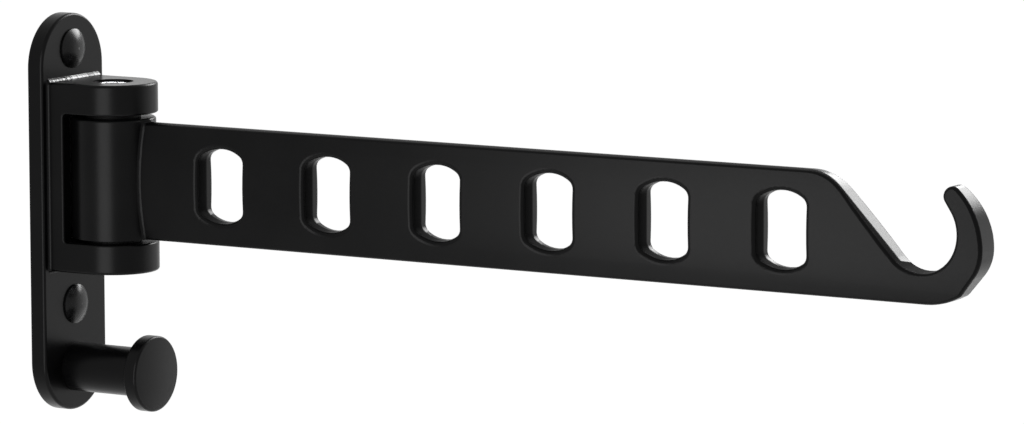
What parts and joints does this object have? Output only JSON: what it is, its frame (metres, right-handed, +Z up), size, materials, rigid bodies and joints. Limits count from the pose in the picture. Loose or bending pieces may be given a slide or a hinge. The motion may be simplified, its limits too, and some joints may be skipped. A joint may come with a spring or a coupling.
{
  "type": "wall drying rack",
  "caption": "Wall bracket with a coat peg and a swinging slotted arm that ends in a hook, for drying clothes on hangers.",
  "frame": {"origin": "middle of the wall plate's back face", "axes": "+X out from the wall along the arm at rest, +Y to the right as seen from the room, +Z up"},
  "size_m": [0.3095, 0.0316, 0.12],
  "materials": {
    "paint": "black satin powder coat",
    "steel": "bright zinc plate",
    "bush_plastic": "matt nylon",
    "cap_plastic": "gloss"
  },
  "bodies": {
    "bracket": {"wall_bracket": "paint", "pivot_bolt": "steel", "pivot_nut": "steel", "coat_peg": "paint", "peg_screw": "steel", "upper_screw_cap": "cap_plastic", "lower_screw_cap": "cap_plastic"},
    "arm": {"swing_arm": "paint", "upper_bush": "bush_plastic", "lower_bush": "bush_plastic"}
  },
  "joints": [
    {"name": "arm_swing", "type": "hinge", "parent": "bracket", "child": "arm", "pos_m": [0.02016, 0, 0.01175], "axis": [0, 0, 1], "range_deg": [-90, 90]}
  ]
}
